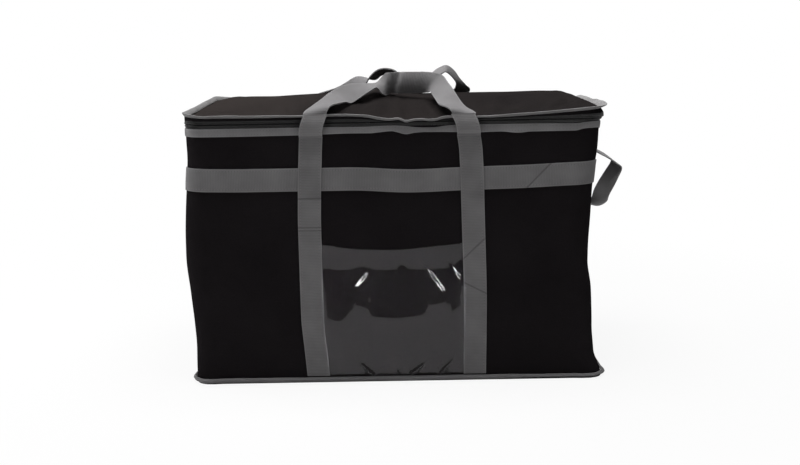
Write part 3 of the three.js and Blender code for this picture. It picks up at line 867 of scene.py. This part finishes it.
lid_foil = lay_cloth("lid_foil_sheet", (90, 54), (0.56, 0.31), lid_foil_place, 0.0006)
dress(lid_foil, silver_foil, "silver_foil", "lid", "lid_foil")


def lid_wall(s, z, out):
    """A point above the rim, settled with the rim and carried with the lid."""
    spot, way = run_at(s)
    p = settle(spot.x + way.x * out, spot.y + way.y * out, min(z, RIM))
    return lid_form(Vector((p.x, p.y, z)))


LID_BAND_FOOT, LID_BAND_HIGH = 0.3764, 0.005


def lid_band_place(u, v):
    return lid_wall(u * AROUND, LID_BAND_FOOT + v * LID_BAND_HIGH, 0)


lid_band = lay_cloth(
    "lid_band_cloth", (260, 4), (AROUND, LID_BAND_HIGH), lid_band_place, FABRIC, True
)
dress(lid_band, black_cloth, "black_fabric", "lid", "lid_band")
AROUND * 0.0058

# %% [markdown]
# ## Bindings
# The seams of the lid and the base are wrapped in a folded tape that stands out like a soft leaf,
# tilting a little as it goes. The rim's tape is sewn down flat. A leaf is a closed outline carried
# round the bag; the flat tape is a grid like the cloth.

# %% Leaf-shaped bindings and the flat rim tape
def leaf(v, length, thick):
    """A folded tape's outline: out along its length, and up through its thickness."""
    turn = v * FULL_TURN
    bulge = copysign(abs(sin(turn)) ** 0.7, sin(turn))
    return length * (0.5 - 0.5 * cos(turn)), thick * 0.5 * bulge


def binding(name, height, root, length, thick, tilt, carry, finish, body, node):
    """A folded tape round a seam; its length and thickness are knots along x."""

    def place(u, v):
        s = (1 - u) * AROUND
        spot, _ = run_at(s)
        lean = tilt(spot.x) + ripple((spot.x, spot.y, 0.3), 0.05, 0.18)
        far, thin = leaf(v, between(length, spot.x), between(thick, spot.x))
        out = root + far * cos(lean) - thin * sin(lean)
        z = height + far * sin(lean) + thin * cos(lean)
        return carry(s, z, out)

    tape = lay_cloth(name, (420, 14), (AROUND, FOLD_TAPE_WIDE), place, 0, True)
    dress(tape, finish, "grey_binding", body, node)


binding(
    "lid_binding_tape", 0.3806, -0.0026,
    in_mm((-286, 8.2), (-200, 9.2), (200, 9.6), (286, 13.5)),
    in_mm((0, 2.6)), lambda x: 0.32 + 0.68 * ease(-0.25, -0.285, x),
    lid_wall, edge_tape, "lid", "lid_binding",
)
binding(
    "base_binding_tape", 0.0066, 0.0004,
    in_mm((-286, 4), (-200, 6.2), (200, 6.2), (286, 5)),
    in_mm((-286, 6.4), (140, 6), (200, 4), (286, 3.6)),
    lambda x: -0.3, on_wall, base_tape, "shell", "base_binding",
)

RIM_LOW = 0.3545
RIM_FOOT = in_mm(
    (-286, 0), (-120, 1), (-60, 2.3), (-27, 2.4), (-15.7, 3.5), (3.5, 5.1), (11, 3.4), (22.6, 0.9),
    (34, 2.6), (47.5, 3.3), (75, 2.8), (120, 1.3), (151, 1.7), (177, -0.5), (193, 0.7), (250, 0.3),
    (262, 3.3), (286, 3.1),
)
RIM_HEAD = in_mm(
    (-90, 0), (-38.7, -0.3), (3.5, 0.6), (22.6, -0.5), (34, -1.8), (47.5, -2.6), (61, -2.5),
    (74.4, -1), (90, 0), (200, 0), (250, -0.8), (262, 0.6), (286, 1.2),
)


def rim_place(u, v):
    s = u * AROUND
    spot, _ = run_at(s)
    front = ease(-0.12, -0.15, spot.y)
    foot = RIM_LOW + between(RIM_FOOT, spot.x) * front
    head = RIM + between(RIM_HEAD, spot.x) * front
    worn = front * ease(-0.09, -0.02, spot.x) * ease(0.15, 0.08, spot.x)
    pinch = worn * max(noise.noise(Vector((spot.x / 0.016, v * 0.6, 0))), 0)
    out = 0.0011 + 0.0004 * sin(pi * v) + 0.0012 * pinch
    return on_wall(s, foot + v * (head - foot), out)


rim = lay_cloth("top_binding_tape", (420, 6), (AROUND, RIM_TAPE_WIDE), rim_place, 0.001, True)
dress(rim, rim_tape, "grey_binding", "shell", "top_binding")

# %% [markdown]
# ## Webbing on the body
# A band runs right round under the rim, and four straps run up over it from the base. Each strap
# steps out where it crosses the band, and its top goes on into a carry handle.

# %% Band and straps
BAND_FOOT, BAND_TOP = 0.278, 0.310


def band_place(u, v):
    puff = 0.0016 + 0.0002 * sin(pi * v)
    return on_wall(AROUND * 0.7 + u * AROUND, BAND_FOOT + v * (BAND_TOP - BAND_FOOT), puff)


band = lay_cloth("webbing_band_tape", (420, 10), (AROUND, WEB_WIDE), band_place, 0.0014, True)
dress(band, band_webbing, "grey_webbing", "shell", "webbing_band")

STRAP_X, STRAP_FOOT, STRAP_TOP = 0.113, 0.0103, 0.3522


def strap_out(z):
    """How far a strap's face stands off the wall: further out over the band."""
    from_foot = ease(BAND_FOOT - 0.012, BAND_FOOT - 0.001, z)
    from_top = ease(BAND_TOP + 0.012, BAND_TOP + 0.001, z)
    return 0.0019 + 0.0017 * from_foot * from_top


STRAP_DRIFT = {
    -1: in_mm((0, 5), (50, 1.5), (100, -1.5), (220, -1.2), (330, 3.2), (360, 5)),
    1: in_mm((0, 2), (120, 3), (220, 1), (330, -2), (360, -6)),
}


def turn_uv(piece):
    """Swap a UV map's two ways, so that the first one runs along the webbing."""
    for loop in piece.data.uv_layers.active.data:
        loop.uv = (loop.uv.y, loop.uv.x)


def strap(name, face, hand, finish):
    """One sewn strap; face is -1 at the front and 1 at the back."""
    high = STRAP_TOP - STRAP_FOOT

    def place(u, v):
        z = STRAP_FOOT + v * high
        drift = between(STRAP_DRIFT[hand], z) if face < 0 else 0
        x = hand * STRAP_X + drift - face * (u - 0.5) * WEB_WIDE
        return settle(x, face * (HALF_Y + strap_out(z)), z)

    piece = lay_cloth(name + "_webbing", (8, 120), (WEB_WIDE, high), place, 0.0016)
    turn_uv(piece)
    dress(piece, finish, "grey_webbing", "shell", name)


strap("front_left_strap", -1, -1, left_strap_webbing)
strap("front_right_strap", -1, 1, right_strap_webbing)
strap("back_left_strap", 1, -1, webbing)
strap("back_right_strap", 1, 1, webbing)

# %% [markdown]
# ## Clear pocket
# A film of clear vinyl is sewn under the front straps and at its foot. It is creased where it was
# once folded, bulges below that line and gapes a little at its lip. Its pleats are folds of the
# sheet itself, since a bump in the finish would be flat from the side.

# %% Clear pocket
POCKET_HALF, POCKET_FOOT, POCKET_TOP = 0.0995, 0.0103, 0.200
POCKET_BULGE = in_mm(
    (10.3, 0.6), (30, 4.2), (55, 8.3), (76, 10.4), (88.5, 10.8), (100.5, 10.1), (127, 6.6),
    (150, 3.4), (160, 2.1), (166, 1.4), (170, 1.3), (178, 1.8), (200, 4), (210, 4.6),
)
POCKET_LIP = in_mm((-99.5, 3.5), (-42, -4.5), (3, -4.8), (45, -1), (99.5, 3))
BELLY_LINE = in_mm(
    (-99.5, -4), (-75, -12.5), (-53, 7), (-38, -3), (1.6, -8), (33, -3), (74.5, 14.5), (81, -3),
    (99.5, 3.5),
)
FOLD_LINE = in_mm(
    (-99.5, 0), (-87, -1), (-70, -3.5), (-35, -3), (30, -2.7), (66, -3), (80, 0), (99.5, 13),
)
FOLD_BUMPS = in_mm((-56, 0), (-40, 4.5), (-29, 0), (3, 0), (12.5, 6.5), (21, 0))
FILM_STEPS = in_mm((-47.5, 147, -38, 157.7), (64.5, 144, 53, 159.7), (98.5, 145.5, 86.5, 162))
HEM_PLEATS = in_mm((-34, 10, -50, 28), (3, 9, 1, 16), (21, 10, 39, 27), (64, 11, 79, 31))
STEP_RISE, STEP_WIDE, STEP_NARROW = 0.0027, 0.0046, 0.0026
PLEAT_RISE, PLEAT_WIDE = 0.003, 0.0026


def from_fold(fold, x, z):
    """A fold's line, a point from its start, and the point's share along it."""
    x0, z0, x1, z1 = fold
    ahead, at = Vector((x1 - x0, z1 - z0)), Vector((x - x0, z - z0))
    return ahead, at, min(max(at.dot(ahead) / ahead.length_squared, 0), 1)


def film_folds(x, z):
    """The film steps out below each glint and rises in pleats at its hem."""
    total = 0
    for step in FILM_STEPS:
        ahead, at, share = from_fold(step, x, z)
        upper = Vector((-ahead.y, ahead.x)).normalized() * copysign(1, ahead.x)
        wide = STEP_WIDE + (STEP_NARROW - STEP_WIDE) * share
        reach = 0.3 * ahead.length + 0.006
        low, high = sorted(step[::2])
        inside = ease(low - reach, low, x) * ease(high + reach, high, x)
        total += STEP_RISE * inside * ease(wide, -wide, at.dot(upper)) * ease(0.06, 0.145, z)
    for pleat in HEM_PLEATS:
        ahead, at, share = from_fold(pleat, x, z)
        size = 1.5 - 0.8 * share
        off_line = (at - ahead * share).length
        total += PLEAT_RISE * size * exp(-(off_line / (PLEAT_WIDE * size)) ** 2)
    return total


def pocket_place(u, v):
    across = 2 * u - 1
    tall = POCKET_TOP + between(POCKET_LIP, across * POCKET_HALF) - POCKET_FOOT
    z = POCKET_FOOT + v * tall
    drift = between(STRAP_DRIFT[-1], z) * (1 - u) + between(STRAP_DRIFT[1], z) * u
    x = across * POCKET_HALF
    belly = between(BELLY_LINE, x) * ease(0.03, 0.09, z)
    fold = between(FOLD_LINE, x)
    shift = belly + (fold - belly) * ease(0.12, 0.158, z)
    shift += between(FOLD_BUMPS, x) * ease(0.156, 0.168, z)
    shift *= ease(0.203, 0.184, z)
    bulge = between(POCKET_BULGE, z - shift) + ripple((x / 0.03, 0, z / 0.05), 1, 0.0002)
    edge = abs(across) ** 30
    out = 0.0002 + bulge * (1 - edge) + film_folds(x, z)
    return settle(x + drift, -(HALF_Y + out), z, edge)


pocket = lay_cloth("clear_pocket_film", (170, 170), (0.199, 0.19), pocket_place, 0.0004)
dress(pocket, clear_film, "clear_vinyl", "shell", "clear_pocket")

# %% [markdown]
# ## Zip
# Two tapes carry the coils. The lower one is sewn behind the rim and the upper one to the lid's
# band, and they run round the ends and the front. They stand a little apart at the left end, where
# the sliders run. At the back a plain strip is the lid's hinge.

# %% Zip tapes and hinge strip
ZIP_START, ZIP_END = LEFT_END + 0.015, RIGHT_END + 0.235
HINGE_LONG, HINGE_FOOT, HINGE_HIGH = AROUND - ZIP_END + ZIP_START, 0.3662, 0.0102


def zip_profile(v, foot, head):
    """A tape's outline, out and up: flat from its foot, with a round coil at its head."""
    outline = (
        (0.0, -0.0012), (0.45, -0.0012), (0.55, -0.0017), (0.8, -0.0017), (1.0, -0.0006),
        (0.8, 0.0005), (0.55, 0.0005), (0.45, 0.0), (0.0, 0.0), (0.0, -0.0012),
    )
    at = v * (len(outline) - 1)
    i = min(int(at), len(outline) - 2)
    (z0, out0), (z1, out1) = outline[i], outline[i + 1]
    share = at - i
    z = foot + (head - foot) * (z0 + (z1 - z0) * share)
    return out0 + (out1 - out0) * share, z


def zip_tape_piece(name, foot, head, meet, body, node):
    """One half of the zip; its coil meets the other half past the left end."""
    long = ZIP_END - ZIP_START

    def place(u, v):
        s = ZIP_START + u * long
        closing = ease(FRONT_LEFT - 0.006, FRONT_LEFT + 0.014, s)
        out, z = zip_profile(v, foot, head + (meet - head) * closing)
        return lid_wall(s, z, out)

    tape = lay_cloth(name, (700, 18), (long, 0.012), place, 0, True)
    dress(tape, zip_tape, "black_tape", body, node)


zip_tape_piece("lower_zip", 0.3661, 0.3703, 0.3712, "shell", "zip_tape_lower")
zip_tape_piece("upper_zip", 0.3766, 0.3723, 0.3714, "lid", "zip_tape_upper")


def hinge_place(u, v):
    return lid_wall(ZIP_END + u * HINGE_LONG, HINGE_FOOT + v * HINGE_HIGH, -0.0002)


hinge = lay_cloth("lid_hinge_cloth", (160, 8), (0.75, 0.010), hinge_place, 0.0009)
dress(hinge, black_cloth, "black_fabric", None, "lid_hinge_strip")
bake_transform(hinge)

# %% [markdown]
# ## Carry handles
# Each carry handle is one webbing that rises from two straps, passes the lid's binding and falls
# over the lid in an untidy loop. A line is drawn through points over the lid, with the way that
# the webbing's width points at each, and a grid of the webbing's width follows it.

# %% Ribbons that follow a line
def through(points, t):
    """A point of the smooth line through points, with t from 0 to 1."""
    last = len(points) - 1
    i = min(int(t * last), last - 1)
    f = t * last - i
    b, c = points[i], points[i + 1]
    a = points[i - 1] if i else b * 2 - c
    d = points[i + 2] if i + 2 <= last else c * 2 - b
    return 0.5 * ((2 * b) + (c - a) * f + (2 * a - 5 * b + 4 * c - d) * f ** 2
                  + (3 * b - a - 3 * c + d) * f ** 3)


FINE_STEPS, LOOK_AHEAD = 600, 0.002
FLAT_CUP = ((0, 0.0004),)


def ribbon(name, points, ways, width, thickness, steps, cup=FLAT_CUP):
    """Webbing along points; ways are where its width points, cup how far it is arched."""
    points = [Vector(p) for p in points]
    ways = [Vector(w) for w in ways]
    line = [through(points, i / FINE_STEPS) for i in range(FINE_STEPS + 1)]
    lengths = [0.0]
    for here, there in zip(line, line[1:]):
        lengths.append(lengths[-1] + (there - here).length)
    rows = []
    k = 0
    for i in range(steps + 1):
        wanted = lengths[-1] * i / steps
        while k < FINE_STEPS - 1 and lengths[k + 1] < wanted:
            k += 1
        share = (wanted - lengths[k]) / max(lengths[k + 1] - lengths[k], 1e-9)
        t = (k + share) / FINE_STEPS
        ahead = through(points, min(t + LOOK_AHEAD, 1)) - through(points, max(t - LOOK_AHEAD, 0))
        way = through(ways, t).normalized()
        rows.append((through(points, t), way, ahead.cross(way).normalized()))

    def place(u, v):
        spot, way, face = rows[round(u * steps)]
        across = 2 * v - 1
        arch = between(cup, u)
        chord = width * (1 - 8 / 3 * (arch / width) ** 2)
        return spot + way * (across * chord / 2) + face * (arch * (0.5 - across ** 2))

    piece = lay_cloth(name, (steps, 8), (lengths[-1], width), place, thickness, False, 0)
    print(name, "is", round(lengths[-1], 3), "m long")
    return piece


LEG_REACH = 0.0092
LEG_OUT = ((0, 0.0025), (0.3, 0.0100), (0.6, 0.0112), (1, LEG_REACH))
LEG_X = {-1: 0.1045, 1: 0.113}
LEG_TOP = {(-1, -1): 0.384, (-1, 1): 0.3815, (1, -1): 0.3865, (1, 1): 0.3865}


def leg_end(face, hand, side_name):
    """The stretch of a handle that rises past the lid's binding."""
    drift = between(STRAP_DRIFT[hand], STRAP_TOP) if face < 0 else 0
    high = LEG_TOP[face, hand] - STRAP_TOP

    def place(u, v):
        middle = hand * (STRAP_X + (LEG_X[face] - STRAP_X) * v ** 2)
        x = middle + drift - face * (u - 0.5) * WEB_WIDE
        return Vector((x, face * (HALF_Y + between(LEG_OUT, v)), STRAP_TOP + v * high))

    name = side_name + "_handle_" + ("left" if hand < 0 else "right") + "_end"
    piece = lay_cloth(name + "_webbing", (8, 16), (WEB_WIDE, high), place, 0.0018, False, 0)
    turn_uv(piece)
    dress(piece, leg_webbing_painted_light, "grey_webbing", None, name)
    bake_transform(piece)


def carry_loop(side_name, face, cup, stations):
    """A loop over the lid: stations in millimetres, each with the way its width points."""
    lean = 0.003 if face < 0 else 0
    foot = face * (HALF_Y + LEG_REACH)
    legs = [Vector((hand * (LEG_X[face] - lean), foot, LEG_TOP[face, hand])) for hand in (-1, 1)]
    points = [legs[0]] + [Vector(station[:3]) * 0.001 for station in stations] + [legs[1]]
    ways = [(-100, 0, 0)] + [station[3:] for station in stations] + [(100, 0, 0)]
    loop = ribbon(side_name + "_handle_webbing", points, ways, WEB_WIDE, 0.0018, 180, cup)
    dress(loop, webbing, "grey_webbing", None, side_name + "_handle_loop")
    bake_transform(loop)


for hand in (-1, 1):
    leg_end(-1, hand, "front")
    leg_end(1, hand, "back")

GRIP_CUP = (
    (0, 0.0004), (0.42, 0.0004), (0.52, 0.0045), (0.64, 0.0045), (0.72, 0.0004), (1, 0.0004),
)
carry_loop("front", -1, GRIP_CUP, (
    (-99.8, -167, 388, -98.5, 12, -5), (-96.5, -162.5, 392, -95, 28, -10),
    (-90.8, -154, 395.6, -90, 42, -5), (-81, -141, 400, -82, 54, 15),
    (-72.5, -128, 404.2, -73, 57, 38), (-62.7, -115, 406.5, -59, 48, 64),
    (-52.1, -103, 410.6, -48, 62, 62), (-40.6, -94, 414, -37, 81, 45),
    (-28.1, -88, 416.9, -27, 93, 23), (-18.1, -83, 418.5, -2, 97, 20),
    (-9.5, -80, 418.5, 3, 60, 80), (-3, -79, 420.2, 5, 0, 99), (3, -79, 421, 7, -42, 90),
    (7.5, -79, 421.3, 10, -30, 94), (13, -79, 421.6, 14, 22, 95), (20, -79, 421.2, 12, -4, 98),
    (41.5, -79, 421, 18, -6, 97), (57, -81, 421, 38, 10, 90), (66.5, -86, 420, 60, 40, 66),
    (70.9, -97, 414.2, 76, 47, 45), (75.8, -110, 407.4, 85, 41, 33),
    (82, -132, 397.2, 90, 39, 20), (86.8, -145, 392.8, 88, 46, 5),
    (91.5, -155, 389.8, 90, 42, -8), (96.8, -163, 387, 95, 28, -10),
    (100, -167, 384, 98.5, 12, -5),
))
carry_loop("back", 1, FLAT_CUP, (
    (-112.5, 164, 391, -100, 0, 0), (-110, 140, 394, -98, 10, 0), (-100, 95, 399.8, -90, 40, 0),
    (-84, 52, 405.6, -85, 52, 0), (-70, 26, 410.2, -62, 77, 15), (-58, 10, 415, -50, 80, 33),
    (-45.6, 0, 420, -30, 81, 51), (-26.4, -6, 426.6, 15, 96, -20),
    (-16.4, -10, 433.9, 17, 95, -26), (-7.3, -14, 435.9, 8, 95, -31),
    (1.6, -17, 434.2, -2, 94, -35), (9.2, -19, 430.1, -5, 93, -37),
    (18.1, -18, 425.1, 1, 98, 5), (45.5, -15, 426.8, 2, 90, 43), (62.2, -8, 427.6, 0, 97, 24),
    (74, 0, 433.8, -12, 97, 23), (85.3, 10, 437.9, 8, 96, 27), (95.8, 28, 431, 21, 96, 19),
    (104.7, 48, 420.1, 27, 96, 7), (111.5, 70, 411, 52, 85, -5), (115, 95, 403.5, 80, 60, 0),
    (114.5, 132, 398, 97, 20, 0), (113, 163, 392, 100, 0, 0),
))

# %% [markdown]
# ## End loops
# A grab loop is sewn to each end, one foot above the band and one below. The right one stands out,
# the left one hangs flat. Close to the wall they follow the shell's lean.

# %% End grab loops
FLAT = (0, 100, 0)


def end_loop(name, hand, stations):
    """A loop on an end wall: millimetres off it, height, and the width's way where not flat."""
    points = []
    for out, z, *_ in stations:
        lean = between(LEFT_LEAN if hand < 0 else RIGHT_LEAN, z * 0.001)
        points.append((hand * (HALF_X + out * 0.001) + lean, 0, z * 0.001))
    furthest = max(station[0] for station in stations) * 0.001
    ways = [station[2:] or FLAT for station in stations]
    loop = ribbon(name + "_webbing", points, ways, LOOP_WIDE, 0.0016, 90)
    dress(loop, loop_webbing, "grey_webbing", None, name)
    hand * (HALF_X + furthest * 0.5)
    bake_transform(loop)


end_loop("right_end_handle", 1, (
    (1.1, 312), (4.2, 316.5), (16, 314.5, 0, 100, 8), (29.5, 308.5, -5, 98, 17),
    (43.5, 301.4, -10, 97, 19), (55, 293.5, -25, 94, 24), (60.3, 287.2, -51, 80, 32),
    (53.5, 271.2, -70, 62, 36), (41.8, 247, -86, 26, 43), (37.5, 233, -83, 50, 15),
    (27, 227, -50, 85, 10), (14, 232, -10, 100, 0), (5, 242), (1.1, 251),
))
end_loop("left_end_handle", -1, (
    (1.1, 312.5), (4.6, 319.5), (8.3, 312.5), (9.3, 293.6), (9.3, 240.5), (7.3, 209.8),
    (5.6, 198), (3.1, 207.4), (1.6, 221.6), (1.1, 235.8),
))

# %% [markdown]
# ## Pieces that keep their CAD shape
# The board and foam in the base and the zip's sliders and pulls already have the right shape, so
# they only get their finishes.

# %% Finish the carried-over nodes
for name, finish in {
    "base_board": black_board,
    "base_foam": white_foam,
    "front_zip_slider": black_metal,
    "front_zip_pull": black_metal,
    "rear_zip_slider": black_metal,
    "rear_zip_pull": black_metal,
}.items():
    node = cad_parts[name]
    node.data.materials.clear()
    node.data.materials.append(finish)
print("six nodes finished")
